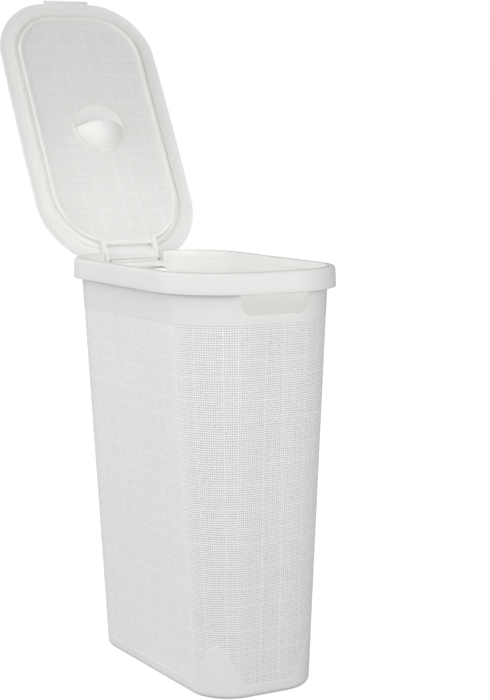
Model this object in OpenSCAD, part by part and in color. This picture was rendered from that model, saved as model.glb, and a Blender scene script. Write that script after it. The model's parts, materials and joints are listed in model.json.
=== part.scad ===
// Slim laundry hamper with a hinged lid.
// Millimetres, +Z up. The origin is the middle of the base, on the floor. The hinge is at the back (+Y).
// The lid is drawn open, leaning back on its stop.

/* [Body] */
// Height of the rim above the floor
rim_h = 580; // [560:5:620]
// Width of the base, left to right
base_w = 176; // [170:2:184]
// Length of the base, front to back
base_l = 370; // [362:2:376]
// Corner radius of the base
base_r = 58; // [54:1:62]
// Width of the body where it goes under the skirt
mouth_w = 237; // [235:1:239]
// Length of the body where it goes under the skirt
mouth_l = 425; // [423:1:427]
// Corner radius of the body where it goes under the skirt
mouth_r = 91; // [88:1:94]
// Thickness of the body's wall
wall = 2.2; // [2:0.1:2.4]
// Thickness of the body's floor
floor_t = 3; // [2.4:0.2:4]
// Radius of the rounding around the bottom edge
bottom_r = 8; // [6:1:10]

/* [Handles] */
// Width of each handle opening
handle_w = 101; // [90:1:110]
// Height of the lower edge of the handle openings, below the rim
handle_drop = 56.7; // [50:0.1:62]
// Radius of the lower corners of the handle openings
handle_r = 18; // [10:1:18]

/* [Rim] */
// Width of the rim frame
rim_w = 260.6; // [259:0.1:262]
// Length of the rim frame
rim_l = 448.2; // [447:0.1:448.4]
// Corner radius of the rim frame
rim_r = 104; // [100:1:106]
// Height of the rim's skirt
skirt_h = 28.4; // [27:0.1:30]
// Thickness of the skirt
skirt_t = 2.4; // [2:0.1:2.8]
// Radius of the rounding along the rim's top edge
rim_round = 4.5; // [3:0.5:5]

/* [Lid] */
// Width of the lid
lid_w = 262.4; // [261:0.1:264]
// Length of the lid, without its tab
lid_l = 454; // [450:1:454]
// How far the lid's edges bow outwards at their middles
lid_bow = 3.6; // [0:0.2:4]
// Corner radius of the lid at its hinge end
lid_r_back = 100; // [94:1:106]
// Corner radius of the lid at its tab end
lid_r_front = 88; // [82:1:94]
// Thickness of the lid's border
lid_t = 2.4; // [2:0.1:2.6]
// How far the middle panel lies below the border
panel_drop = 5; // [4:0.5:6]
// Width of the lifting tab
tab_w = 75; // [60:1:90]
// How far the lifting tab stands out from the lid's edge
tab_out = 6; // [2:0.5:8]
// Radius of the round finger cup
cup_r = 42.5; // [36:0.5:44]
// Depth of the finger cup below the panel
cup_depth = 24; // [16:1:26]

/* [Hinge] */
// How far the lid is open, measured from closed
lid_open = 119; // [90:1:119]
// Distance of the hinge axis behind the middle of the body
hinge_y = 220; // [219.8:0.1:220.4]
// Distance of the hinge axis below the rim
hinge_drop = 9; // [9:0.1:9.2]
// Width of the gap in the rim that takes the hinge
notch_w = 100; // [98:1:102]
// Distance between the middles of the lid's two hinge arms
arm_gap = 84; // [80:1:84]
// Diameter of the hinge pins
pin_d = 4; // [3:0.1:4]

/* [Hidden] */

eps = 0.01;
corner_steps = 12;
side_steps = 8;
round_steps = 4;
skirt_z = rim_h - skirt_h;

// The rim's top web, and the lip that sits in a rebate of the body's wall
web_t = 3;
web_z = rim_h - web_t;
lip_t = 1.1;
lip_z = web_z - 9;

// Handle openings run up behind the skirt
handle_z = rim_h - handle_drop;
handle_top = skirt_z + 4.4;
handle_top_r = 6;

// Hinge: axis, gap in the rim, arms, barrel and bracket
axis_z = rim_h - hinge_drop;
notch_z = rim_h - 18;
arm_t = 5;
arm_r = 4.5;
barrel_r = 4.4;
running_gap = 0.05;
side_gap = 0.4;
ear_x = arm_gap / 2 + arm_t / 2 + side_gap;
arm_low = -6.5;
web_y = -23;
ear_end = notch_w / 2 - 0.1;
base_t = 2.8;
base_front = hinge_y - 14;
base_back = hinge_y + 1.5;
saddle_y = hinge_y - 4;
saddle_l = 4.5;
saddle_t = 3.9;
guard_x = 39;
guard_y = hinge_y - 7;
guard_l = 2.4;
guard_h = 6.7;
hook_x = 44;
hook_t = 2.2;
hook_h = 5;

// Lid heights are measured from the hinge axis with the lid closed
lid_gap = 0.3;
border_z = hinge_drop + lid_gap;
panel_z = border_z - panel_drop;
panel_t = 2.2;
rib_z = panel_z - 3.5;
rib_t = 5;
rib_w = 204;
rib_front = 198;
rib_back = 194.5;
rib_r_front = 68;
rib_r_back = 82;
bead_w = 222;
bead_front = 207.8;
bead_back = 203.5;
bead_t = 3;
bead_h = 3.4;
bead_r_front = 78;
bead_r_back = 89;
cup_y = 3.5;
cup_wall = 2;
cup_lip_h = 1.2;
cup_hole_r = cup_r - 3;
dome_r = cup_hole_r - 1;
dome_ball = (dome_r * dome_r + cup_depth * cup_depth) / (2 * cup_depth);

body_color = [0.93, 0.93, 0.92];
lid_color = [0.95, 0.95, 0.94];
hinge_color = [0.9, 0.89, 0.86];

// Body size at a height above the floor
function taper(low, high, z) = low + (high - low) * z / skirt_z;
function body_w(z) = taper(base_w, mouth_w, z);
function body_l(z) = taper(base_l, mouth_l, z);
function body_r(z) = taper(base_r, mouth_r, z);

function quarter(x, y, r, from) = [
    for (i = [0 : corner_steps])
        let (a = from + 90 * i / corner_steps)
            [x + r * cos(a), y + r * sin(a)]
];

// Rounded rectangle whose front and back corners have their own radii
function outline(w, y_back, y_front, r_back, r_front) = concat(
    quarter(w / 2 - r_back, y_back - r_back, r_back, 0),
    quarter(r_back - w / 2, y_back - r_back, r_back, 90),
    quarter(r_front - w / 2, r_front - y_front, r_front, 180),
    quarter(w / 2 - r_front, r_front - y_front, r_front, 270)
);

function even_outline(w, l, r) = outline(w, l / 2, l / 2, r, r);

// Pushes the middle of each side outwards by bow
function bowed(p, w, l, bow) = [
    p.x + sign(p.x) * bow * pow(abs(2 * p.x / w), 4) * (1 - pow(2 * p.y / l, 2)),
    p.y + sign(p.y) * bow * pow(abs(2 * p.y / l), 4) * (1 - pow(2 * p.x / w, 2))
];

// Inner points of a straight side
function side_points(from, to) = [
    for (i = [1 : side_steps - 1])
        from + (to - from) * i / side_steps
];

function lid_outline(inset) =
    let (w = lid_w - 2 * lid_bow, l = lid_l - 2 * lid_bow,
         x = w / 2 - inset,
         back = l / 2 - lid_r_back,
         front = lid_r_front - l / 2,
         p = outline(2 * x, l / 2 - inset, l / 2 - inset, lid_r_back - inset, lid_r_front - inset),
         last = 2 * corner_steps + 1)
        [
            for (q = concat([for (i = [0 : last]) p[i]],
                            side_points([-x, back], [-x, front]),
                            [for (i = [last + 1 : 2 * last + 1]) p[i]],
                            side_points([x, front], [x, back])))
                bowed(q, w, l, lid_bow)
        ];

module prism(points, from, to) {
    translate([0, 0, from])
        linear_extrude(to - from)
            polygon(points);
}

// One thin slice of the body, inset from its outer face
module body_slice(z, inset) {
    prism(even_outline(body_w(z) - 2 * inset, body_l(z) - 2 * inset, body_r(z) - inset), z, z + eps);
}

// Solid body with a rounded bottom edge
module body_solid(bottom, top, inset, edge_r) {
    hull() {
        for (i = [0 : round_steps]) {
            a = 90 * i / round_steps;
            body_slice(bottom + edge_r * (1 - cos(a)), inset + edge_r * (1 - sin(a)));
        }
        body_slice(top - eps, inset);
    }
}

module handle_opening() {
    height = handle_top - handle_z;
    translate([0, body_l(skirt_z), handle_z + height / 2])
        rotate([90, 0, 0])
            linear_extrude(2 * body_l(skirt_z))
                polygon(outline(handle_w, height / 2, height / 2, handle_top_r, handle_r));
}

// Space that the hinge needs at the back of the rim
module hinge_notch() {
    translate([-notch_w / 2, rim_l / 2 - 40, notch_z])
        cube([notch_w, 50, rim_h]);
}

module tub() {
    lip_w = body_w(lip_z) - 2 * wall + 2 * lip_t;
    lip_l = body_l(lip_z) - 2 * wall + 2 * lip_t;
    color(body_color)
        difference() {
            body_solid(0, web_z, 0, bottom_r);
            body_solid(floor_t, web_z + 1, wall, bottom_r - wall);
            prism(even_outline(lip_w, lip_l, body_r(lip_z) - wall + lip_t), lip_z, web_z + 1);
            handle_opening();
            hinge_notch();
        }
}

module rim_solid() {
    hull() {
        prism(even_outline(rim_w, rim_l, rim_r), skirt_z, rim_h - rim_round);
        for (i = [1 : round_steps]) {
            a = 90 * i / round_steps;
            inset = rim_round * (1 - cos(a));
            z = rim_h - rim_round * (1 - sin(a));
            prism(even_outline(rim_w - 2 * inset, rim_l - 2 * inset, rim_r - inset), z - eps, z);
        }
    }
}

module rim_frame() {
    open_w = body_w(lip_z) - 2 * wall;
    open_l = body_l(lip_z) - 2 * wall;
    open_r = body_r(lip_z) - wall;
    color(body_color)
        difference() {
            rim_solid();
            difference() {
                prism(even_outline(rim_w - 2 * skirt_t, rim_l - 2 * skirt_t, rim_r - skirt_t), skirt_z - 1, web_z);
                prism(even_outline(open_w + 2 * lip_t, open_l + 2 * lip_t, open_r + lip_t), lip_z, web_z + 1);
            }
            prism(even_outline(open_w, open_l, open_r), skirt_z, rim_h + 1);
            hinge_notch();
        }
}

// Cylinder along X between two places on the hinge axis
module axis_rod(r, from, to) {
    translate([from, hinge_y, axis_z])
        rotate([0, 90, 0])
            cylinder(r = r, h = to - from, $fn = 48);
}

// Side cheek of the bracket, which fills the end of the notch and holds a pin
module bracket_ear() {
    low = notch_z - axis_z;
    difference() {
        union() {
            translate([ear_x, hinge_y, axis_z])
                rotate([90, 0, 90])
                    linear_extrude(ear_end - ear_x)
                        polygon([[-16, low], [-16, hinge_drop - 0.5], [0, hinge_drop - 0.5],
                                 [arm_r - 1, 4], [arm_r - 1, low]]);
            axis_rod(arm_r, ear_x, ear_end);
        }
        axis_rod(pin_d / 2, ear_x - 1, ear_end + 1);
    }
}

module hinge_bracket() {
    color(hinge_color) {
        translate([-ear_end, base_front, notch_z])
            cube([2 * ear_end, base_back - base_front, base_t]);
        translate([-ear_end, saddle_y, notch_z])
            cube([2 * ear_end, saddle_l, saddle_t]);
        translate([-guard_x, guard_y, notch_z])
            cube([2 * guard_x, guard_l, guard_h]);
        translate([-hook_x, base_front, notch_z - hook_h])
            cube([2 * hook_x, hook_t, hook_h + 1]);
        bracket_ear();
        mirror([1, 0, 0])
            bracket_ear();
    }
}

module hinge_pin_right() {
    color(hinge_color)
        axis_rod(pin_d / 2, arm_gap / 2 - arm_t / 2 + 0.2, ear_end);
}

module hinge_pin_left() {
    mirror([1, 0, 0])
        hinge_pin_right();
}

// Draws what is modelled closed, with its origin on the hinge axis, in the open position
module open_on_hinge() {
    translate([0, hinge_y, axis_z])
        rotate([-lid_open, 0, 0])
            children();
}

// Closed ring between two outlines
module ring(w, y_back, y_front, r_back, r_front, t, from, to) {
    difference() {
        prism(outline(w, y_back, y_front, r_back, r_front), from, to);
        prism(outline(w - 2 * t, y_back - t, y_front - t, r_back - t, r_front - t), from - 1, to + 1);
    }
}

module hinge_arm() {
    reach = hinge_y - rib_back + rib_t;
    translate([arm_gap / 2 - arm_t / 2, 0, 0]) {
        rotate([90, 0, 90])
            linear_extrude(arm_t)
                polygon([[0, -arm_r], [arm_r - 0.4, 2], [3, border_z + 1], [-reach, border_z + 1],
                         [-reach, arm_low]]);
        rotate([0, 90, 0])
            cylinder(r = arm_r, h = arm_t, $fn = 48);
    }
}

// Bar and sloping plate between the arms, in front of the barrel
module hinge_web() {
    bar_y = rib_back - rib_t - hinge_y;
    translate([-arm_gap / 2, 0, 0])
        rotate([90, 0, 90]) {
            linear_extrude(arm_gap)
                polygon([[web_y - 1, border_z + 1], [web_y, border_z], [0, -barrel_r],
                         [barrel_r - 0.5, 0]]);
            translate([bar_y, rib_z - 0.6])
                cube([web_y - bar_y, border_z - rib_z + 1.6, arm_gap]);
        }
}

module lid_plate() {
    tab_y = lid_l / 2;
    translate([0, -hinge_y, 0]) {
        difference() {
            prism(lid_outline(0), border_z, border_z + lid_t);
            prism(outline(rib_w - 1, rib_back - 0.5, rib_front - 0.5, rib_r_back, rib_r_front),
                  border_z - 1, border_z + lid_t + 1);
        }
        translate([-tab_w / 2, -tab_y - tab_out, border_z])
            cube([tab_w, tab_out + 8, lid_t]);
        ring(rib_w, rib_back, rib_front, rib_r_back, rib_r_front, rib_t, rib_z, border_z + lid_t);
        difference() {
            ring(bead_w, bead_back, bead_front, bead_r_back, bead_r_front, bead_t, border_z - bead_h,
                 border_z + 0.5);
            translate([-arm_gap / 2, 0, 0])
                cube([arm_gap, bead_back + 5, border_z]);
        }
        difference() {
            prism(outline(rib_w - rib_t, rib_back - rib_t / 2, rib_front - rib_t / 2,
                          rib_r_back - rib_t / 2, rib_r_front - rib_t / 2), panel_z, panel_z + panel_t);
            translate([0, -cup_y, panel_z - 1])
                cylinder(r = cup_hole_r, h = panel_t + 2, $fn = 96);
        }
    }
}

module lid() {
    color(lid_color)
        open_on_hinge()
            difference() {
                union() {
                    lid_plate();
                    hinge_arm();
                    mirror([1, 0, 0])
                        hinge_arm();
                    hinge_web();
                    translate([-arm_gap / 2, 0, 0])
                        rotate([0, 90, 0])
                            cylinder(r = barrel_r, h = arm_gap, $fn = 48);
                }
                for (side = [-1, 1])
                    translate([side * arm_gap / 2 - arm_t / 2 - (side < 0 ? 1 : 0), 0, 0])
                        rotate([0, 90, 0])
                            cylinder(r = pin_d / 2 + running_gap, h = arm_t + 1, $fn = 48);
            }
}

// Round cup: a half disc level with the panel, and a quarter-ball pocket on the hinge side
module finger_cup() {
    ball_z = panel_z + dome_ball - cup_depth;
    color(lid_color)
        open_on_hinge()
            translate([0, -hinge_y - cup_y, 0]) {
                difference() {
                    union() {
                        translate([0, 0, panel_z - cup_lip_h])
                            cylinder(r = cup_r, h = cup_lip_h, $fn = 96);
                        translate([0, 0, panel_z - eps])
                            cylinder(r = cup_hole_r, h = panel_t + eps, $fn = 96);
                        intersection() {
                            translate([0, 0, ball_z])
                                sphere(r = dome_ball, $fn = 96);
                            translate([-cup_r, 0, panel_z - cup_depth - 1])
                                cube([2 * cup_r, cup_r, cup_depth + 2]);
                        }
                    }
                    intersection() {
                        translate([0, 0, ball_z])
                            sphere(r = dome_ball - cup_wall, $fn = 96);
                        translate([-cup_r, cup_wall, panel_z - cup_depth])
                            cube([2 * cup_r, cup_r, cup_depth + panel_t + 1]);
                    }
                }
            }
}

tub();
rim_frame();
hinge_bracket();
hinge_pin_left();
hinge_pin_right();
lid();
finger_cup();
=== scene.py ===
import json
import math

import bmesh
import bpy
import numpy as np
from mathutils import Matrix, Vector


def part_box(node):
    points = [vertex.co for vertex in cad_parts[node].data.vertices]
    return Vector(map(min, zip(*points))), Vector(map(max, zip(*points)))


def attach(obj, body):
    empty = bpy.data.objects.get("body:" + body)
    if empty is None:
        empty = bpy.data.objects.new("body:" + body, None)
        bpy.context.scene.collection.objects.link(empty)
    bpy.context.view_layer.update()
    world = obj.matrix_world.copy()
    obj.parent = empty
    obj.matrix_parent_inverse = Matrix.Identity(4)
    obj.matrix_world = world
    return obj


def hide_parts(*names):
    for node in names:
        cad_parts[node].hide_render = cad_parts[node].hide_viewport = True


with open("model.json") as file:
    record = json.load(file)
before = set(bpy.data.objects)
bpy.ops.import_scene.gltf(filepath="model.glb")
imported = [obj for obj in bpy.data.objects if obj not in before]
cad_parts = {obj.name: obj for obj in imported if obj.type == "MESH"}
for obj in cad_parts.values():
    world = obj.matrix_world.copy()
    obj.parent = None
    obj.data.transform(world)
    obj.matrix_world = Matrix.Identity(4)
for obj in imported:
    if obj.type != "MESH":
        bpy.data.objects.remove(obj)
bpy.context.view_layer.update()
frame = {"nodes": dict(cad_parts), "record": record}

SEED = 7

# Sizes are in millimetres and become metres when a mesh is made
MM = 0.001
TUB = [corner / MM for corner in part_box("tub")]
RIM = [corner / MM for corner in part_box("rim_frame")]
HINGE = next(j for j in frame["record"]["behaviour"]["joints"] if j["name"] == "lid_hinge")
AXIS_Y, AXIS_Z = (value / MM for value in HINGE["pos_m"][1:])
OPEN_DEG = HINGE["range_deg"][1]

# Body: a tapered shell with rounded corners, woven below a smooth band. BASE and TOP are its width,
# length and corner radius at the floor and at the top of the wall
RIM_H = RIM[1].z
SKIRT_Z = RIM[0].z
WEB_Z = TUB[1].z
BASE = np.array([176.0, 370.0, 58.0])
TOP = np.array([2 * TUB[1].x, 2 * TUB[1].y, 92.5])
WALL = 2.2
FLOOR_T = 3.0
BOTTOM_R = 8.0
FOOT_W, FOOT_H = 7.5, 1.2
BAND_Z = 510.0
# A rounded edge beside the weave, as (distance from the edge, inset) pairs
EDGE = ((0.8, 0.0), (0.35, 0.06), (0.1, 0.25), (0.0, 0.55), (0.0, 1.1))
BAND_FLAT = BAND_Z + EDGE[0][0]
# The rim's lip hangs in a rebate inside the top of the wall
LIP_H, REBATE = 9.0, 1.1

# Threads of the weave round the body: each corner, each end and each long side
ARC, END, SIDE = 40, 18, 78
ROUND = 4 * ARC + 2 * END + 2 * SIDE
PITCH = 3.18
# How far the weave's lowest points lie under the smooth surface, and how high its threads rise
RECESS = 0.8
RELIEF = 0.68
LID_RELIEF = 0.42
# The relief is full up to this many threads from the middle of an end, then falls to a lower share.
# Its threads then lie about a middle height, a little higher where the relief is low
FULL_RELIEF, LOW_RELIEF, SIDE_RELIEF = 36, 48, 0.3
MIDDLE_HEIGHT, SIDE_LIFT = 0.6, 0.08

# The smooth pads at the base: low between the corners and arched at each corner
PAD_LOW, PAD_PEAK, PAD_HALF = 18.0, 75.0, 19.0

# Handle openings, and half the width of the wall panel that each is cut in
HANDLE_X, HANDLE_LOW, HANDLE_TOP = 50.5, 523.3, 556.0
HANDLE_R_LOW, HANDLE_R_TOP = 18.0, 6.0
PANEL_X = 62.0

# How far the rim's outer face leans in at its top, on the long sides and at the ends
RIM_LEAN = (0.6, 1.8)
# Radius of its corners, thickness of its skirt, and roundness of its lower, outer and inner edges
RIM_CORNER, RIM_T, RIM_FOOT_R, RIM_TOP_R, RIM_MOUTH_R = 104.0, 2.4, 0.8, 4.5, 1.4

# Hinge gap in the back of the rim
NOTCH_X = 50.0
NOTCH_Z = RIM_H - 18


# Meshes ------------------------------------------------------------------------------------------

def make_mesh(name, points, faces, crease=40, attributes=None):
    """A smooth-shaded object from points in millimetres and lists of corners."""
    mesh = bpy.data.meshes.new(name)
    mesh.from_pydata((np.asarray(points) * MM).tolist(), [], [list(map(int, f)) for f in faces])
    for label, values in (attributes or {}).items():
        layer = mesh.attributes.new(label, "FLOAT", "POINT")
        layer.data.foreach_set("value", np.asarray(values, dtype=np.float32))
    mesh.shade_smooth()
    mesh.set_sharp_from_angle(angle=math.radians(crease))
    piece = bpy.data.objects.new(name, mesh)
    bpy.context.scene.collection.objects.link(piece)
    return piece


def grid_faces(rows, cols, closed=False, first=0):
    """Quads between the points of a grid. closed joins the last column to the first."""
    index = first + np.arange(rows * cols).reshape(rows, cols)
    if closed:
        index = np.hstack([index, index[:, :1]])
    quads = [index[:-1, :-1], index[:-1, 1:], index[1:, 1:], index[1:, :-1]]
    return np.stack(quads, axis=-1).reshape(-1, 4)


def compact(points, faces, *values):
    """Drops the points that no face uses."""
    used, index = np.unique(faces, return_inverse=True)
    return (points[used], index.reshape(faces.shape), *(v[used] for v in values))


class Shell:
    """Collects grids of points that become one mesh."""

    def __init__(self):
        self.points, self.faces, self.count = [], [], 0

    def grid(self, rows, closed=False, flip=False):
        rows = np.asarray(rows, dtype=float)
        faces = grid_faces(rows.shape[0], rows.shape[1], closed, self.count)
        self.points.append(rows.reshape(-1, 3))
        self.faces.extend((faces[:, ::-1] if flip else faces).tolist())
        self.count += rows.shape[0] * rows.shape[1]

    def cap(self, loop, flip=False):
        index = list(range(self.count, self.count + len(loop)))
        self.points.append(np.asarray(loop, dtype=float))
        self.faces.append(index[::-1] if flip else index)
        self.count += len(loop)

    def make(self, name, crease=40, merge=0.004):
        piece = make_mesh(name, np.vstack(self.points), self.faces, crease)
        weld(piece, merge, crease)
        return piece


def weld(piece, distance, crease=40):
    """Joins points that coincide, and marks the sharp edges again."""
    work = bmesh.new()
    work.from_mesh(piece.data)
    bmesh.ops.remove_doubles(work, verts=work.verts, dist=distance * MM)
    work.to_mesh(piece.data)
    work.free()
    piece.data.shade_smooth()
    piece.data.set_sharp_from_angle(angle=math.radians(crease))


def apply_modifiers(piece, crease=40):
    """Replaces the mesh by what its modifiers make of it."""
    graph = bpy.context.evaluated_depsgraph_get()
    mesh = bpy.data.meshes.new_from_object(piece.evaluated_get(graph), depsgraph=graph)
    piece.modifiers.clear()
    piece.data = mesh
    mesh.shade_smooth()
    mesh.set_sharp_from_angle(angle=math.radians(crease))


def bevel(piece, width, segments=3, angle=40):
    """Rounds the edges that turn by more than the angle."""
    modifier = piece.modifiers.new("bevel", "BEVEL")
    modifier.width = width * MM
    modifier.segments = segments
    modifier.limit_method = "ANGLE"
    modifier.angle_limit = math.radians(angle)
    apply_modifiers(piece)


def box_mesh(name, low, high):
    """A box between two corners in millimetres."""
    x, y, z = zip(low, high)
    points = [(x[i], y[j], z[k]) for k in (0, 1) for j in (0, 1) for i in (0, 1)]
    faces = [(0, 2, 3, 1), (4, 5, 7, 6), (0, 1, 5, 4), (1, 3, 7, 5), (3, 2, 6, 7), (2, 0, 4, 6)]
    return make_mesh(name, points, faces, 30)


def profile_mesh(name, outline, x0, x1):
    """A side view of (y, z) points, carried from x0 to x1."""
    points = [(x, y, z) for x in (x0, x1) for y, z in outline]
    n = len(outline)
    faces = [tuple(range(n))[::-1], tuple(range(n, 2 * n))]
    faces += [(i, (i + 1) % n, n + (i + 1) % n, n + i) for i in range(n)]
    return make_mesh(name, points, faces, 30)


def join(name, pieces):
    """One object from several."""
    with bpy.context.temp_override(active_object=pieces[0], selected_editable_objects=pieces):
        bpy.ops.object.join()
    pieces[0].name = name
    pieces[0].data.name = name
    return pieces[0]


def cut(piece, tool):
    """Takes the tool's volume out of the piece."""
    modifier = piece.modifiers.new("cut", "BOOLEAN")
    modifier.operation = "DIFFERENCE"
    modifier.solver = "EXACT"
    modifier.object = tool
    apply_modifiers(piece)
    bpy.data.objects.remove(tool)


# Shapes ------------------------------------------------------------------------------------------

def wall_size(z):
    """Width, length and corner radius of the body at a height."""
    share = np.asarray(z, dtype=float) / WEB_Z
    return [low + (high - low) * share for low, high in zip(BASE, TOP)]


def wall_point(u, z, out=0.0):
    """Points on the body. u counts threads anticlockwise from the middle of the front."""
    u, z, out = np.broadcast_arrays(np.asarray(u, float), np.asarray(z, float), np.asarray(out, float))
    w, l, r = wall_size(z)
    a, b = w / 2 - r, l / 2 - r
    u = np.mod(u + END / 2, ROUND)
    side = np.where(u >= ROUND / 2, -1.0, 1.0)
    u = np.mod(u, ROUND / 2)
    front, corner, along, last = (
        np.clip((u - start) / length, 0, 1)
        for start, length in ((0, END), (END, ARC), (END + ARC, SIDE), (END + ARC + SIDE, ARC))
    )
    angle = (corner + last - 1) * math.pi / 2
    x = -a + 2 * a * front + (r + out) * np.cos(angle)
    y = -b + 2 * b * along + (r + out) * np.sin(angle)
    return np.stack([side * x, side * y, z], axis=-1)


def pad_height(u):
    """Height of the smooth pads' upper edge round the body."""
    corners = [s * (END / 2 + ARC / 2) for s in (1, -1)]
    corners += [ROUND / 2 + s for s in corners]
    away = np.min([np.abs(np.mod(u - c + ROUND / 2, ROUND) - ROUND / 2) for c in corners], axis=0)
    share = np.clip(away / PAD_HALF, 0, 1) ** 1.15
    return PAD_LOW + (PAD_PEAK - PAD_LOW) * (1 + np.cos(math.pi * share)) / 2


def rounded(w, y_back, y_front, r_back, r_front, arc=24, ends=6, sides=16):
    """Points round a rectangle whose front and back corners have their own radii."""
    centres = [
        (w / 2 - r_back, y_back - r_back, r_back, 0),
        (r_back - w / 2, y_back - r_back, r_back, 90),
        (r_front - w / 2, r_front - y_front, r_front, 180),
        (w / 2 - r_front, r_front - y_front, r_front, 270),
    ]
    points = []
    for i, (x, y, r, start) in enumerate(centres):
        angle = np.radians(start + 90 * np.arange(arc + 1) / arc)
        points.append(np.stack([x + r * np.cos(angle), y + r * np.sin(angle)], axis=-1))
        steps = sides if i % 2 else ends
        nx, ny, nr, nstart = centres[(i + 1) % 4]
        after = np.radians(nstart)
        last = points[-1][-1]
        following = np.array([nx + nr * np.cos(after), ny + nr * np.sin(after)])
        share = np.arange(1, steps)[:, None] / steps
        points.append(last + (following - last) * share)
    return np.vstack(points)


def even(w, l, r, **counts):
    """Points round a rectangle with four equal corners, centred on the axis."""
    return rounded(w, l / 2, l / 2, r, r, **counts)


def at_height(outline, z):
    """A flat outline as points in space."""
    return np.hstack([outline, np.full((len(outline), 1), float(z))])


def round_edge(radius, steps=4):
    """(inset, drop) pairs round an edge, from the face beside it to the face under it."""
    angles = np.radians(np.linspace(0, 90, steps + 1))
    return [(radius * (1 - math.sin(a)), radius * (1 - math.cos(a))) for a in angles]


# Weave -------------------------------------------------------------------------------------------

class Weave:
    """Plain weave with uneven threads. Warp threads run along v and weft threads along u."""

    def __init__(self, warps, wefts, seed):
        chance = np.random.default_rng(seed)
        self.warp_slub = self.slubs(chance, warps)
        self.weft_slub = self.slubs(chance, wefts)
        self.warp_rise = chance.normal(0, 0.04, warps) + 0.10 * self.warp_slub
        self.weft_rise = chance.normal(0, 0.04, wefts) + 0.10 * self.weft_slub
        self.jitter = chance.normal(0, 0.035, (wefts, warps))

    @staticmethod
    def slubs(chance, count):
        """1 on the thick threads, which lie about nine threads apart."""
        marks = np.zeros(count)
        place = chance.uniform(2, 6)
        while place < count:
            marks[int(place)] = chance.uniform(0.6, 1.0)
            place += chance.uniform(6.0, 12.0)
        return marks

    def field(self, first_warp, last_warp, first_weft, last_weft):
        """u, v, height and slub of three points a thread each way, as grids."""
        cols = np.arange(3 * (last_warp - first_warp) + 1)
        rows = np.arange(3 * (last_weft - first_weft) + 1)
        i, k = np.divmod(cols, 3)
        j, m = np.divmod(rows, 3)
        i, j = i + first_warp, j + first_weft
        warp = i % len(self.warp_rise)
        weft = j % len(self.weft_rise)
        jj, ii = np.meshgrid(j, i, indexing="ij")
        mm, kk = np.meshgrid(m, k, indexing="ij")
        over = (ii + jj) % 2 == 0
        inner_k, inner_m = kk > 0, mm > 0
        warp_slub = self.warp_slub[warp][None, :]
        weft_slub = self.weft_slub[weft][:, None]
        half_u = np.where(inner_m, np.where(over, 0.24 + 0.06 * warp_slub, 0.40), 0.31)
        half_v = np.where(inner_k, np.where(over, 0.38, 0.28 + 0.05 * weft_slub), 0.31)
        u = ii + np.where(kk == 0, 0, 0.5 + np.where(kk == 1, -1, 1) * half_u)
        v = jj + np.where(mm == 0, 0, 0.5 + np.where(mm == 1, -1, 1) * half_v)
        top = np.where(over, 0.8 + self.warp_rise[warp][None, :], 1.0 + self.weft_rise[weft][:, None])
        top = top + self.jitter[weft][:, warp]
        edge = np.where(inner_k, 0.32, np.where(inner_m, 0.5, 0.0))
        height = np.where(inner_k & inner_m, top, edge)
        slub = np.where(inner_k & inner_m, np.where(over, warp_slub, weft_slub), 0.0)
        slub = np.where(inner_k & ~inner_m, warp_slub * 0.6, slub)
        slub = np.where(inner_m & ~inner_k, weft_slub * 0.6, slub)
        return u, v, height, slub


def weave_depth(u):
    """Share of the full relief, which is shallower on the long sides than at the ends."""
    away = np.abs(np.mod(u + ROUND / 4, ROUND / 2) - ROUND / 4)
    share = np.clip((away - FULL_RELIEF) / (LOW_RELIEF - FULL_RELIEF), 0, 1)
    return 1 - (1 - SIDE_RELIEF) * share * share * (3 - 2 * share)


def body_skin(name, weave, first, last, wefts):
    """A woven strip of the body between two warp threads."""
    u, v, height, slub = weave.field(first, last, -1, wefts)
    z = BAND_Z - v * PITCH
    depth = weave_depth(u)
    height = MIDDLE_HEIGHT + depth * (height - MIDDLE_HEIGHT) + SIDE_LIFT * (1 - depth)
    points = wall_point(u, z, RELIEF * height - RECESS).reshape(-1, 3)
    faces = grid_faces(*u.shape)[:, ::-1]
    keep = (z - pad_height(u) > -3.0).reshape(-1)[faces].any(axis=1)
    points, faces, height, slub = compact(points, faces[keep], height.reshape(-1), slub.reshape(-1))
    return make_mesh(name, points, faces, 180, {"relief": height, "slub": slub})


def build_weave():
    """Six woven strips round the body."""
    wefts = int((BAND_Z - PAD_LOW) / PITCH) + 3
    weave = Weave(ROUND, wefts + 2, SEED)
    names = ["front", "right_front", "right_back", "back", "left_back", "left_front"]
    edges = [ROUND * i // len(names) - 20 for i in range(len(names) + 1)]
    return [
        body_skin("weave_" + name, weave, edges[i], edges[i + 1], wefts)
        for i, name in enumerate(names)
    ]


# Body --------------------------------------------------------------------------------------------

def pad_rows(u):
    """Rows from the foot ring up to the pads' rounded upper edge."""
    top = pad_height(u)
    foot = BOTTOM_R + FOOT_W
    rows = [wall_point(u, FOOT_H, -foot - 1.5), wall_point(u, 0, -foot)]
    rows += [wall_point(u, up, -inset) for inset, up in round_edge(BOTTOM_R, 6)]
    for share in np.linspace(0, 1, 8)[1:]:
        rows.append(wall_point(u, BOTTOM_R + (top - 0.9 - BOTTOM_R) * share))
    return rows + [wall_point(u, top - drop, -inset) for drop, inset in EDGE[1:]]


def band_edge_rows(u):
    """The rounded lower edge of the smooth band."""
    return [wall_point(u, BAND_Z + rise, -inset) for rise, inset in EDGE[::-1]]


def inner_rows(u):
    """The inside of the wall from the band down to the floor."""
    low = FLOOR_T + BOTTOM_R - WALL
    rows = [wall_point(u, z, -WALL) for z in np.linspace(BAND_FLAT, low, 10)]
    for inset, drop in round_edge(BOTTOM_R - WALL, 5)[::-1][1:]:
        rows.append(wall_point(u, FLOOR_T + drop, -WALL - inset))
    return rows


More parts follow.
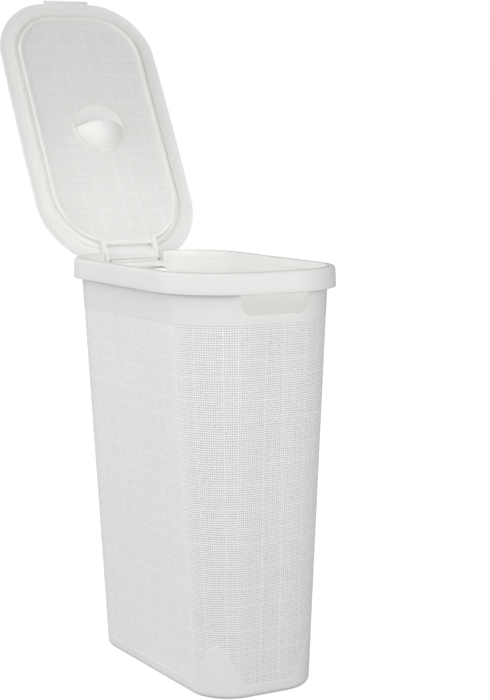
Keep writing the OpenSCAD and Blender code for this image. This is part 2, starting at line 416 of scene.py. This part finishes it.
def end_surface(x, z, depth, side):
    """Point of the front (-1) or back (1) wall at a place across and a height."""
    w, l, r = wall_size(z)
    a, b = w / 2 - r, l / 2 - r
    past = np.maximum(np.abs(x) - a, 0)
    y = side * (b + np.sqrt(np.maximum((r - depth) ** 2 - past**2, 0)))
    return np.stack([x, y, np.broadcast_to(z, np.shape(x))], axis=-1)


def slot_loop(grow, square=None):
    """Loop round a handle opening, as (x, z). square gives the rectangle that it grows into."""
    if square:
        half, low, top, extent = square
        radii = (extent, extent)
    else:
        half, low, top = HANDLE_X + grow, HANDLE_LOW - grow, HANDLE_TOP + grow
        radii = (HANDLE_R_LOW + grow, HANDLE_R_TOP + grow)
    steps = 12
    loop = []
    corners = [
        (1, low, radii[0], -90),
        (1, top, radii[1], 0),
        (-1, top, radii[1], 90),
        (-1, low, radii[0], 180),
    ]
    for sx, edge, r, start in corners:
        cx = sx * (half - r)
        cz = edge + r if edge == low else edge - r
        for k in range(steps + 1):
            angle = math.radians(start + 90 * k / steps)
            c, s = math.cos(angle), math.sin(angle)
            if square:
                reach = max(abs(c), abs(s))
                c, s = c / reach, s / reach
            loop.append((cx + r * c, cz + r * s))
    points = []
    count = len(loop)
    for n in range(count):
        points.append(loop[n])
        if n % (steps + 1) == steps:
            after = loop[(n + 1) % count]
            spans = 4 if (n // (steps + 1)) % 2 == 0 else 16
            for k in range(1, spans):
                points.append(tuple(p + (q - p) * k / spans for p, q in zip(loop[n], after)))
    return np.array(points)


def handle_panel(shell, side, top):
    """The wall round one handle opening, with rounded edges, from the outside through to the inside."""
    panel = slot_loop(0, (PANEL_X, BAND_FLAT, top, 12.0))
    border = slot_loop(4.5)
    fillet = [(0.9, 0.0), (0.55, 0.06), (0.26, 0.26), (0.06, 0.55), (0.0, 0.9)]
    rings = [(panel, 0.0), (border, 0.0)]
    rings += [(slot_loop(grow), depth) for grow, depth in fillet]
    rings += [(slot_loop(grow), WALL - depth) for grow, depth in fillet[::-1]]
    rings += [(border, WALL), (panel, WALL)]
    rows = [end_surface(loop[:, 0], loop[:, 1], depth, side) for loop, depth in rings]
    shell.grid(rows, closed=True, flip=side > 0)


def plain_band(shell, side):
    """The smooth band along one long side, between the two handle panels."""
    def row(z, depth):
        w, l, r = (float(v) for v in wall_size(z))
        a, b = w / 2 - r, l / 2 - r
        first = -math.acos((PANEL_X - a) / (r - depth))
        arc = np.linspace(first, 0, 25)
        low = np.stack([a + (r - depth) * np.cos(arc), -b + (r - depth) * np.sin(arc)], axis=-1)
        high = low[::-1] * (1, -1)
        mid = np.stack([np.full(11, w / 2 - depth), np.linspace(-b, b, 13)[1:-1]], axis=-1)
        points = at_height(np.vstack([low, mid, high]), z)
        return points * (side, 1, 1)

    outer = [row(z, 0.0) for z in np.linspace(BAND_FLAT, WEB_Z, 6)]
    rebate = [row(z, REBATE) for z in (WEB_Z, WEB_Z - LIP_H)]
    inner = [row(z, WALL) for z in np.linspace(WEB_Z - LIP_H, BAND_FLAT, 6)]
    shell.grid(outer + rebate + inner, flip=side < 0)


def notch_side(shell, side):
    """The bit of wall between the hinge gap and the band at the back."""
    x = side * np.linspace(NOTCH_X, PANEL_X, 5)
    for depth in (0.0, WALL):
        rows = [end_surface(x, z, depth, 1) for z in (NOTCH_Z, WEB_Z)]
        shell.grid(rows, flip=(side > 0) != (depth > 0))
    edge = [end_surface(x[:1], z, d, 1) for d in (0.0, WALL) for z in (NOTCH_Z, WEB_Z)]
    shell.grid([np.vstack(edge[:2]), np.vstack(edge[2:])], flip=side > 0)


def build_tub():
    """The smooth parts of the body: base pads, band with its handle openings, and the inside."""
    shell = Shell()
    fine = np.arange(3 * ROUND) / 3
    coarse = np.arange(ROUND)
    rows = pad_rows(fine)
    shell.grid(rows, closed=True)
    shell.cap(rows[0][::-1])
    shell.grid(band_edge_rows(fine), closed=True)
    inside = inner_rows(coarse)
    shell.grid(inside, closed=True)
    shell.cap(inside[-1])
    handle_panel(shell, -1, WEB_Z)
    handle_panel(shell, 1, NOTCH_Z)
    for side in (-1, 1):
        plain_band(shell, side)
        notch_side(shell, side)
    return shell.make("tub_shell")


def build_rim():
    """The rim frame: skirt, rounded top, and the lip inside, with the hinge gap cut out."""
    width, length = RIM[1].x - RIM[0].x, RIM[1].y - RIM[0].y
    lip_z = WEB_Z - LIP_H
    w, l, r = (float(v) for v in wall_size(lip_z))

    def outer(inset, z, lean=0.0):
        across, along = (inset + lean * share for share in RIM_LEAN)
        return at_height(even(width - 2 * across, length - 2 * along, RIM_CORNER - along, arc=36), z)

    def inner(grow, z):
        gap = 2 * (grow - WALL)
        return at_height(even(w + gap, l + gap, r + grow - WALL, arc=36), z)

    rise = RIM_H - SKIRT_Z - RIM_TOP_R - RIM_FOOT_R
    rows = [outer(inset, SKIRT_Z + up) for inset, up in round_edge(RIM_FOOT_R, 3)]
    rows += [outer(0, SKIRT_Z + RIM_FOOT_R + rise * share, share**1.5) for share in (0.25, 0.5, 0.75)]
    rows += [outer(inset, RIM_H - drop, 1) for inset, drop in round_edge(RIM_TOP_R, 8)[::-1]]
    rows += [inner(inset, RIM_H - drop) for inset, drop in round_edge(RIM_MOUTH_R, 4)]
    rows += [inner(0, lip_z + 0.3), inner(0.3, lip_z), inner(1.0, lip_z), inner(1.0, WEB_Z)]
    rows += [outer(RIM_T, WEB_Z, 1), outer(RIM_T, SKIRT_Z + RIM_FOOT_R)]
    rows += [outer(RIM_T - 0.25, SKIRT_Z + 0.2), outer(2 * RIM_FOOT_R, SKIRT_Z)]
    shell = Shell()
    shell.grid(rows + rows[:1], closed=True)
    rim = shell.make("rim")
    # The gap goes from inside the lip to outside the skirt
    cut(rim, box_mesh("tool", (-NOTCH_X, 184, NOTCH_Z), (NOTCH_X, 240, RIM_H + 10)))
    return rim


# Lid ---------------------------------------------------------------------------------------------
# The lid is made closed, with its origin on the hinge axis, and then opened. Its underside is the
# side of low z

LID_W, LID_L, LID_BOW = 262.4, 454.0, 3.6
LID_R_BACK, LID_R_FRONT = 100.0, 88.0
BORDER_Z, LID_T = 9.3, 2.4
LID_TOP = BORDER_Z + LID_T
PANEL_Z, PANEL_T = 4.3, 2.2
PANEL_TOP = PANEL_Z + PANEL_T
RIB_Z, RIB_T = 0.8, 5.0
RIB = dict(w=204.0, y_back=194.5, y_front=198.0, r_back=82.0, r_front=68.0)
BEAD = dict(w=222.0, y_back=203.5, y_front=207.8, r_back=89.0, r_front=78.0)
CUP_Y, CUP_R, CUP_DEPTH = -AXIS_Y - 3.5, 42.5, 24.0
TAB_X, TAB_OUT = 37.5, 6.0
# Hinge arms, the barrel between them, and the bar that joins them to the rib
ARM_IN, ARM_OUT, ARM_LOW, ARM_R = 39.5, 44.5, -6.5, 4.5
BARREL_R = 4.4
BAR_Y, BAR_Z = -23.0, RIB_Z - 0.6
COUNTS = dict(arc=30, ends=8, sides=24)
# Threads of the panel's weave from its middle to under the rib, across and along
PANEL_THREADS = (31, 62)


def open_up(piece):
    """Swings a closed lid piece to the open rest position."""
    turn = Matrix.Rotation(math.radians(-OPEN_DEG), 4, "X")
    place = Matrix.Translation(Vector((0, AXIS_Y, AXIS_Z)) * MM)
    piece.data.transform(place @ turn)
    piece.data.update()
    return piece


def lid_loop(inset, z):
    """Outline of the lid, its sides bowed outwards."""
    w, l = LID_W - 2 * LID_BOW, LID_L - 2 * LID_BOW
    end = l / 2 - inset
    p = rounded(w - 2 * inset, end, end, LID_R_BACK - inset, LID_R_FRONT - inset, **COUNTS)
    x, y = 2 * p[:, 0] / w, 2 * p[:, 1] / l
    bow = np.stack([np.sign(x) * x**4 * (1 - y**2), np.sign(y) * y**4 * (1 - x**2)], axis=-1)
    return at_height(p + LID_BOW * bow - (0, AXIS_Y), z)


def ring_loop(shape, inset, z):
    """Outline of the rib or the bead, moved inwards."""
    s = shape
    p = rounded(s["w"] - 2 * inset, s["y_back"] - inset, s["y_front"] - inset,
                s["r_back"] - inset, s["r_front"] - inset, **COUNTS)
    return at_height(p - (0, AXIS_Y), z)


def open_loop(loop):
    """The loop from one hinge arm round the tab end to the other arm."""
    gap = (np.abs(loop[:, 0]) < 42) & (loop[:, 1] > -AXIS_Y)
    first = np.flatnonzero(gap)[-1] + 1
    count = len(loop) - gap.sum()
    return np.roll(loop, -first, axis=0)[:count]


def build_lid_frame():
    """Border, rib, bead and tab of the lid."""
    # From the recess in the top, out over the border to its edge
    rows = [ring_loop(RIB, RIB_T + 0.4, PANEL_TOP), ring_loop(RIB, RIB_T, PANEL_TOP + 0.4)]
    rows += [ring_loop(RIB, RIB_T - inset, LID_TOP - drop) for drop, inset in round_edge(1.4, 4)]
    rows += [lid_loop(9, LID_TOP), lid_loop(8.2, LID_TOP), lid_loop(4, LID_TOP - 0.1)]
    rows += [lid_loop(inset, LID_TOP - 0.25 - drop) for inset, drop in round_edge(1.1, 4)]
    # Back under the border, which has a lip along its edge and slopes down to the rib
    under = [
        (0, 9.4), (0.25, 8.95), (0.9, 8.8), (1.8, 8.9),
        (6.8, 9.9), (8.2, 10.1), (9.6, 10.05), (17.5, 9.1),
    ]
    rows += [lid_loop(inset, z) for inset, z in under]
    # Round the rib and in to the panel
    rows += [ring_loop(RIB, -1.2, BORDER_Z), ring_loop(RIB, -0.4, BORDER_Z - 0.35)]
    rows += [ring_loop(RIB, 0, BORDER_Z - 1.2)]
    rows += [ring_loop(RIB, inset, RIB_Z + drop) for inset, drop in round_edge(1.5, 4)[::-1]]
    rows += [ring_loop(RIB, RIB_T - inset, RIB_Z + drop) for inset, drop in round_edge(1.5, 4)]
    rows += [ring_loop(RIB, RIB_T, PANEL_Z - 0.7), ring_loop(RIB, RIB_T + 0.3, PANEL_Z - 0.1)]
    rows += [ring_loop(RIB, RIB_T + 1.6, PANEL_Z + 0.1)]
    shell = Shell()
    shell.grid(rows, closed=True, flip=True)
    bead = [
        (-0.5, 0.1), (-0.1, 0.6), (0.1, 2.2), (0.6, 3.1), (1.5, 3.4),
        (2.4, 3.1), (2.9, 2.2), (3.1, 0.6), (3.5, 0.1),
    ]
    bead_rows = [ring_loop(BEAD, inset, BORDER_Z + 0.1 - rise) for inset, rise in bead]
    shell.grid([open_loop(row) for row in bead_rows], flip=True)
    lid = shell.make("lid_frame")
    y = -AXIS_Y - LID_L / 2
    tab = box_mesh("tab", (-TAB_X, y - TAB_OUT, BORDER_Z - 0.3), (TAB_X, y + 8, LID_TOP - 0.2))
    bevel(tab, 0.9)
    return join("lid_frame", [lid, tab])


def panel_skin(name, weave, z, sign):
    """One woven face of the lid's panel. sign is -1 for the underside and 1 for the top."""
    across, along = PANEL_THREADS
    u, v, height, slub = weave.field(-across, across, -along, along)
    x, y = u * PITCH, v * PITCH
    deep = z + sign * (LID_RELIEF * height - 0.3)
    points = np.stack([x, y - AXIS_Y, deep], axis=-1).reshape(-1, 3)
    faces = grid_faces(*u.shape)
    if sign < 0:
        faces = faces[:, ::-1]
    inside = inside_ring(RIB, 3.0, x, y)
    away = np.hypot(x, y - AXIS_Y - CUP_Y) > (CUP_R - 1.6 if sign < 0 else CUP_R - 2.2)
    keep = (inside & away).reshape(-1)[faces].all(axis=1)
    points, faces, height, slub = compact(points, faces[keep], height.reshape(-1), slub.reshape(-1))
    return make_mesh(name, points, faces, 180, {"relief": height, "slub": slub})


def inside_ring(shape, inset, x, y):
    """True inside a ring's outline."""
    half = shape["w"] / 2 - inset
    result = np.abs(x) < half
    for end, radius, sign in (("y_back", "r_back", 1), ("y_front", "r_front", -1)):
        reach, r = shape[end] - inset, shape[radius] - inset
        dx = np.maximum(np.abs(x) - (half - r), 0)
        dy = np.maximum(sign * y - (reach - r), 0)
        result &= np.hypot(dx, dy) < r
    return result


def polar(radii, angles, height):
    """Points round the cup's middle. height is a number or a column of one for each radius."""
    r, a = np.meshgrid(radii, angles, indexing="ij")
    return np.stack([r * np.cos(a), CUP_Y + r * np.sin(a), np.broadcast_to(height, r.shape)], axis=-1)


def cup_face(shell, level, ball, middle, mouth, edge_r, top):
    """One face of the cup: a flat half disc towards the tab, then a wall and a quarter ball."""
    half = np.linspace(0, math.pi, 49)
    radii = mouth * np.sin(np.linspace(0, math.pi / 2, 15))
    shell.grid(polar(np.linspace(0, edge_r, 8), -half, level), flip=not top)
    shell.grid(polar(radii, half, (middle - np.sqrt(ball**2 - radii**2))[:, None]), flip=top)
    shell.grid(polar([mouth, edge_r], half, level), flip=top)
    x = np.concatenate([-radii[:0:-1], radii])
    edge = middle - np.sqrt(ball**2 - x**2)
    wall = [np.stack([x, np.full_like(x, CUP_Y), edge + (level - edge) * share], axis=-1)
            for share in np.linspace(0, 1, 5)]
    shell.grid(wall, flip=top)


def build_cup():
    """The finger cup: a raised ring round a half disc and a quarter-ball pocket."""
    shell = Shell()
    turn = np.linspace(0, 2 * math.pi, 97)[:-1]
    ring = [
        (0.0, 0.1), (0.0, -1.0), (0.35, -1.75), (1.0, -2.0),
        (1.8, -2.0), (2.4, -1.7), (2.7, -1.0), (2.8, 0.4),
    ]
    rows = [polar([CUP_R - inset], turn, PANEL_Z + rise)[0] for inset, rise in ring]
    shell.grid(rows, closed=True, flip=True)
    hole, edge_r, skin = CUP_R - 3, CUP_R - 2.4, 2.0
    dome = hole - 1
    ball = (dome**2 + CUP_DEPTH**2) / (2 * CUP_DEPTH)
    middle = PANEL_Z + ball - CUP_DEPTH
    mouth = math.sqrt((ball - skin) ** 2 - (middle - PANEL_TOP) ** 2)
    cup_face(shell, PANEL_Z - 0.15, ball, middle, dome, edge_r, False)
    cup_face(shell, PANEL_TOP, ball - skin, middle, min(mouth, hole), edge_r, True)
    cup = shell.make("cup", 40, 0.02)
    bevel(cup, 0.9, angle=50)
    return cup


def mirrored(name, outline, inside, outside):
    """A side view carried across on the right and on the left."""
    return [profile_mesh(name, outline, *sorted((side * inside, side * outside))) for side in (-1, 1)]


def build_arms():
    """The two hinge arms, the bar that joins them to the rib, and the barrel between them."""
    # They end just short of the recess in the lid's top
    reach = RIB["y_back"] - RIB_T + 0.4 - AXIS_Y
    root = BORDER_Z + 1
    side_view = [(4.1, 2), (3, root), (reach, root), (reach, ARM_LOW)]
    side_view += [(ARM_R * math.cos(a), ARM_R * math.sin(a)) for a in np.radians(np.linspace(272, 385, 12))]
    pieces = mirrored("arm", side_view, ARM_IN, ARM_OUT)
    bar = [(reach, root), (reach, BAR_Z), (BAR_Y, BAR_Z), (BAR_Y, root)]
    pieces.append(profile_mesh("bar", bar, -42, 42))
    for piece in pieces:
        bevel(piece, 0.7, angle=50)
    turn = np.linspace(0, 2 * math.pi, 49)[:-1]
    shell = Shell()
    shell.grid([np.stack([np.full(48, x), BARREL_R * np.cos(turn), BARREL_R * np.sin(turn)], axis=-1)
                for x in np.linspace(-40, 40, 5)], closed=True)
    pieces.append(shell.make("barrel"))
    return join("lid_arms", pieces)


def build_web():
    """The glossy plate that slopes from the bar down to the barrel."""
    outline = [(BAR_Y - 1, BORDER_Z + 1), (BAR_Y, BORDER_Z), (0, -BARREL_R - 0.05), (3.9, 0)]
    web = profile_mesh("hinge_web", outline, -ARM_IN - 0.2, ARM_IN + 0.2)
    bevel(web, 0.5, angle=50)
    return web


def build_bracket():
    """The fixed half of the hinge: a base across the gap in the rim, a hook and two cheeks."""
    reach = NOTCH_X - 0.1
    front = AXIS_Y - 14
    low, top = NOTCH_Z, RIM_H - 0.5
    pieces = [
        box_mesh("base", (-reach, front, low), (reach, AXIS_Y + 1.5, low + 2.8)),
        box_mesh("hook", (-44, front, low - 5), (44, front + 2.2, low + 1)),
        box_mesh("saddle", (-reach, AXIS_Y - 4, low), (reach, AXIS_Y + 0.5, low + 3.9)),
        box_mesh("guard", (-39, AXIS_Y - 7, low), (39, AXIS_Y - 4.6, low + 6.7)),
    ]
    cheek = [(-16, low), (-16, top), (0, top), (3.5, AXIS_Z + 4), (3.5, low)]
    pieces += mirrored("cheek", [(AXIS_Y + y, z) for y, z in cheek], 44.9, reach)
    for piece in pieces:
        bevel(piece, 0.7, angle=50)
    return join("bracket", pieces)


# Materials ---------------------------------------------------------------------------------------

# Each plastic's colour, the shade that it clouds to, and its roughness
PLASTICS = {
    "plastic_smooth": ((0.845, 0.84, 0.826), (0.825, 0.82, 0.806), 0.42),
    # The woven plastic is lighter than the smooth one to make up for the painted shade in its hollows
    "plastic_woven": ((0.92, 0.915, 0.902), (0.90, 0.895, 0.882), 0.5),
    "lid_smooth": ((0.88, 0.875, 0.86), (0.86, 0.855, 0.84), 0.36),
    "lid_woven": ((0.87, 0.865, 0.853), (0.85, 0.845, 0.833), 0.45),
    # Painted light: the sloping plate is the lid's plastic made lighter, for the light that falls on it and
    # that it reflects
    "web_plastic_painted_light": ((0.97, 0.97, 0.965), (0.95, 0.95, 0.945), 0.25),
    "hinge_plastic": ((0.83, 0.825, 0.80), (0.81, 0.805, 0.78), 0.35),
    "pin_plastic": ((0.5, 0.49, 0.47), (0.45, 0.44, 0.42), 0.4),
}
# Painted shade: how dark the colour is painted at the weave's deepest points beside its threads, where
# shade falls, and how light the thick threads
HOLLOW_PAINTED_SHADE = {"plastic_woven": 0.22, "lid_woven": 0.62}
SLUB_TONE = 1.07
# Depth in millimetres and size of the plastic's fine grain, and how much its roughness varies
GRAIN, GRAIN_SCALE, ROUGHNESS_SPAN = 0.05, 900, 0.06
CLOUD_SCALE = 9


def new_material(name):
    """A node material, with its nodes, its links and its shader."""
    material = bpy.data.materials.new(name)
    material.use_nodes = True
    nodes = material.node_tree.nodes
    return material, nodes, material.node_tree.links, nodes["Principled BSDF"]


def noise(nodes, links, source, scale, detail, rough=0.55):
    """A 0 to 1 noise signal. The scale is in features a metre."""
    node = nodes.new("ShaderNodeTexNoise")
    node.inputs["Scale"].default_value = scale
    node.inputs["Detail"].default_value = detail
    node.inputs["Roughness"].default_value = rough
    links.new(source, node.inputs["Vector"])
    return node.outputs["Fac"]


def spread(nodes, links, source, low, high, start=0.3, stop=0.7):
    """Maps part of a 0 to 1 signal to a range."""
    node = nodes.new("ShaderNodeMapRange")
    for label, value in (("From Min", start), ("From Max", stop), ("To Min", low), ("To Max", high)):
        node.inputs[label].default_value = value
    links.new(source, node.inputs["Value"])
    return node.outputs["Result"]


def blend(nodes, links, factor, first, second):
    """Mixes two colours. The factor is a socket, and each colour a socket or a value."""
    node = nodes.new("ShaderNodeMix")
    node.data_type = "RGBA"
    links.new(factor, node.inputs["Factor"])
    # The colours' sockets share their labels with those of the other data types
    sockets = [s for s in node.inputs if s.type == "RGBA"]
    for socket, value in zip(sockets, (first, second)):
        if isinstance(value, bpy.types.NodeSocket):
            links.new(value, socket)
        else:
            socket.default_value = (*value, 1)
    return [s for s in node.outputs if s.type == "RGBA"][0]


def bump(nodes, links, principled, source, strength, distance):
    """Roughens a shader's normal with a signal. The distance is in millimetres."""
    node = nodes.new("ShaderNodeBump")
    node.inputs["Strength"].default_value = strength
    node.inputs["Distance"].default_value = distance * MM
    links.new(source, node.inputs["Height"])
    links.new(node.outputs["Normal"], principled.inputs["Normal"])


def plastic(name):
    """Moulded plastic with a fine grain and slight clouding. A woven one has painted shade in its hollows.
    """
    color, shade, roughness = PLASTICS[name]
    material, nodes, links, principled = new_material(name)
    place = nodes.new("ShaderNodeTexCoord").outputs["Object"]
    cloud = noise(nodes, links, place, CLOUD_SCALE, 3)
    fine = noise(nodes, links, place, GRAIN_SCALE, 4)
    tone = blend(nodes, links, spread(nodes, links, cloud, 0.0, 1.0), color, shade)
    if name in HOLLOW_PAINTED_SHADE:
        relief = nodes.new("ShaderNodeAttribute")
        relief.attribute_name = "relief"
        slub = nodes.new("ShaderNodeAttribute")
        slub.attribute_name = "slub"
        # Painted shade: the colour darkens towards the weave's deepest points, where shade falls
        painted_shade = spread(nodes, links, relief.outputs["Fac"], 1.0, 0.0, 0.0, 0.75)
        tone = blend(nodes, links, painted_shade, tone, tuple(c * HOLLOW_PAINTED_SHADE[name] for c in shade))
        light = spread(nodes, links, slub.outputs["Fac"], 0.0, 0.5, 0.0, 1.0)
        tone = blend(nodes, links, light, tone, tuple(min(1.0, c * SLUB_TONE) for c in color))
    links.new(tone, principled.inputs["Base Color"])
    rough = spread(nodes, links, fine, roughness - ROUGHNESS_SPAN, roughness + ROUGHNESS_SPAN)
    links.new(rough, principled.inputs["Roughness"])
    principled.inputs["IOR"].default_value = 1.46
    bump(nodes, links, principled, fine, 0.35, GRAIN)
    return material


def dress(piece, material, body, nodes=()):
    """Gives a piece its material and its body, and hides the CAD nodes that it stands for."""
    piece.data.materials.clear()
    piece.data.materials.append(material)
    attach(piece, body)
    for node in nodes:
        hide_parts(node)


# Studio ------------------------------------------------------------------------------------------

# Half the floor's width and the surround's radius, in metres, and how bright the floor looks
FLOOR_HALF, SURROUND_R, FLOOR_GLOW = 7.5, 8, 0.87
# Brightness of the surroundings, and how it grows towards +X, +Y and +Z
AMBIENT = 0.6
AMBIENT_LEAN = (-0.41, 0.0, 0.0)
# Name, place, target, diameter, power and spread of each lamp. The last one stands for the light
# that comes through the thin walls
LIGHTS = [
    ("near", (-0.5, -1.5, 0.85), (0, 0.2, 0.7), 0.8, 2.9, 180),
    ("front_right", (1.1, -2.6, 0.8), (0, 0, 0.5), 1.6, 21.5, 180),
    ("left", (-2.6, -0.3, 1.2), (0, 0.1, 0.6), 1.2, 6.0, 180),
    ("back_left", (-2.6, 0.8, 0.7), (0, 0, 0.6), 2.0, 13.0, 180),
    ("hinge", (-0.1, -1.0, 1.3), (0, 0.27, 0.62), 0.3, 0.035, 14),
    ("inside", (0, 0, 0.06), (0, 0, 1), 0.12, 0.62, 180),
]


def build_stage():
    """A pale floor that throws light back, its white face, and a white surround for the camera."""
    bounce = sheet_of("floor_bounce", FLOOR_HALF, 0.5, 0.0)
    bounce.visible_camera = False
    floor = sheet_of("floor", FLOOR_HALF, 0.3, FLOOR_GLOW)
    work = bmesh.new()
    bmesh.ops.create_icosphere(work, subdivisions=4, radius=SURROUND_R)
    mesh = bpy.data.meshes.new("surround")
    work.to_mesh(mesh)
    work.free()
    mesh.materials.append(studio_white("surround", 0.0, 1.0))
    surround = bpy.data.objects.new("surround", mesh)
    bpy.context.scene.collection.objects.link(surround)
    for piece in (floor, surround):
        for ray in ("diffuse", "glossy", "transmission", "volume_scatter", "shadow"):
            setattr(piece, "visible_" + ray, False)
    # Both sheets lie just under the hamper's base
    bounce.location.z = -0.0004
    floor.location.z = -0.0002


def studio_white(name, tone, glow):
    """A matt grey of some tone that also glows white."""
    material, _, _, principled = new_material(name)
    principled.inputs["Base Color"].default_value = (tone, tone, tone, 1)
    principled.inputs["Roughness"].default_value = 0.9
    principled.inputs["Specular IOR Level"].default_value = 0.0
    principled.inputs["Emission Color"].default_value = (1, 1, 1, 1)
    principled.inputs["Emission Strength"].default_value = glow
    return material


def sheet_of(name, half, tone, glow):
    """A level square sheet of studio white."""
    mesh = bpy.data.meshes.new(name)
    corners = [(-half, -half, 0), (half, -half, 0), (half, half, 0), (-half, half, 0)]
    mesh.from_pydata(corners, [], [(0, 1, 2, 3)])
    mesh.materials.append(studio_white(name, tone, glow))
    piece = bpy.data.objects.new(name, mesh)
    bpy.context.scene.collection.objects.link(piece)
    return piece


def add_light(name, place, target, size, power, spread):
    """A round area lamp aimed at a point."""
    data = bpy.data.lights.new(name, "AREA")
    data.shape = "DISK"
    data.size = size
    data.energy = power
    data.spread = math.radians(spread)
    lamp = bpy.data.objects.new(name, data)
    bpy.context.scene.collection.objects.link(lamp)
    lamp.location = place
    aim = Vector(target) - Vector(place)
    lamp.rotation_mode = "QUATERNION"
    lamp.rotation_quaternion = aim.to_track_quat("-Z", "Y")
    lamp.visible_camera = False


def build_lights():
    """The even light of the surroundings, which leans to one side, and the lamps."""
    world = bpy.data.worlds.new("studio")
    bpy.context.scene.world = world
    world.use_nodes = True
    nodes, links = world.node_tree.nodes, world.node_tree.links
    nodes["Background"].inputs["Color"].default_value = (1, 1, 1, 1)
    lean = nodes.new("ShaderNodeVectorMath")
    lean.operation = "DOT_PRODUCT"
    lean.inputs[1].default_value = AMBIENT_LEAN
    links.new(nodes.new("ShaderNodeTexCoord").outputs["Generated"], lean.inputs[0])
    glow = nodes.new("ShaderNodeMath")
    glow.inputs[1].default_value = AMBIENT
    links.new(lean.outputs["Value"], glow.inputs[0])
    links.new(glow.outputs["Value"], nodes["Background"].inputs["Strength"])
    for light in LIGHTS:
        add_light(*light)


# The photograph's view, from a fit of the body's and the lid's outlines: degrees, metres, and
# a lens in millimetres for a 36 mm sensor
CAMERA_TURN = (29.45, -8.37, -0.46)
CAMERA_PLACE = (-1.1843, -2.2484, 0.7767)
LENS, SENSOR = 93.1937, 36.0
SHIFT_X, SHIFT_Y = -0.0131, 0.0499


def build_camera():
    """The camera, turned by yaw, then pitch, then roll about its own line of sight."""
    yaw, pitch, roll = (math.radians(v) for v in CAMERA_TURN)
    ahead = Vector((math.sin(yaw) * math.cos(pitch), math.cos(yaw) * math.cos(pitch), math.sin(pitch)))
    right = Vector((math.cos(yaw), -math.sin(yaw), 0))
    up = right.cross(ahead)
    side = math.cos(roll) * right + math.sin(roll) * up
    over = -math.sin(roll) * right + math.cos(roll) * up
    data = bpy.data.cameras.new("camera")
    data.sensor_fit = "AUTO"
    data.sensor_width = SENSOR
    data.lens = LENS
    data.shift_x, data.shift_y = SHIFT_X, SHIFT_Y
    data.clip_start, data.clip_end = 0.05, 100
    camera = bpy.data.objects.new("camera", data)
    bpy.context.scene.collection.objects.link(camera)
    turn = Matrix((side, over, -ahead)).transposed().to_4x4()
    camera.matrix_world = Matrix.Translation(Vector(CAMERA_PLACE)) @ turn
    bpy.context.scene.camera = camera


# Build -------------------------------------------------------------------------------------------

def main():
    """Builds every piece with its material, then the studio."""
    body, lid = "tub_body", "lid_body"
    smooth, woven, lid_smooth, lid_woven, web_painted_light, hinge, pin = (plastic(name) for name in PLASTICS)
    dress(build_tub(), smooth, body, ["tub"])
    for skin in build_weave():
        dress(skin, woven, body)
    dress(build_rim(), smooth, body, ["rim_frame"])
    weave = Weave(80, 140, SEED + 1)
    dress(open_up(build_lid_frame()), lid_smooth, lid, ["lid"])
    dress(open_up(panel_skin("lid_weave_under", weave, PANEL_Z, -1)), lid_woven, lid)
    dress(open_up(panel_skin("lid_weave_top", weave, PANEL_TOP, 1)), lid_woven, lid)
    dress(open_up(build_arms()), lid_smooth, lid)
    dress(open_up(build_web()), web_painted_light, lid)
    dress(open_up(build_cup()), lid_smooth, lid, ["finger_cup"])
    dress(build_bracket(), hinge, body, ["hinge_bracket"])
    # The two pins keep their CAD meshes
    for node in ("hinge_pin_left", "hinge_pin_right"):
        for entry in frame["nodes"][node].material_slots:
            entry.link = "OBJECT"
            entry.material = pin
    build_stage()
    build_lights()
    build_camera()
    bpy.context.scene.view_settings.view_transform = "Standard"
    bpy.context.scene.view_settings.look = "None"


main()
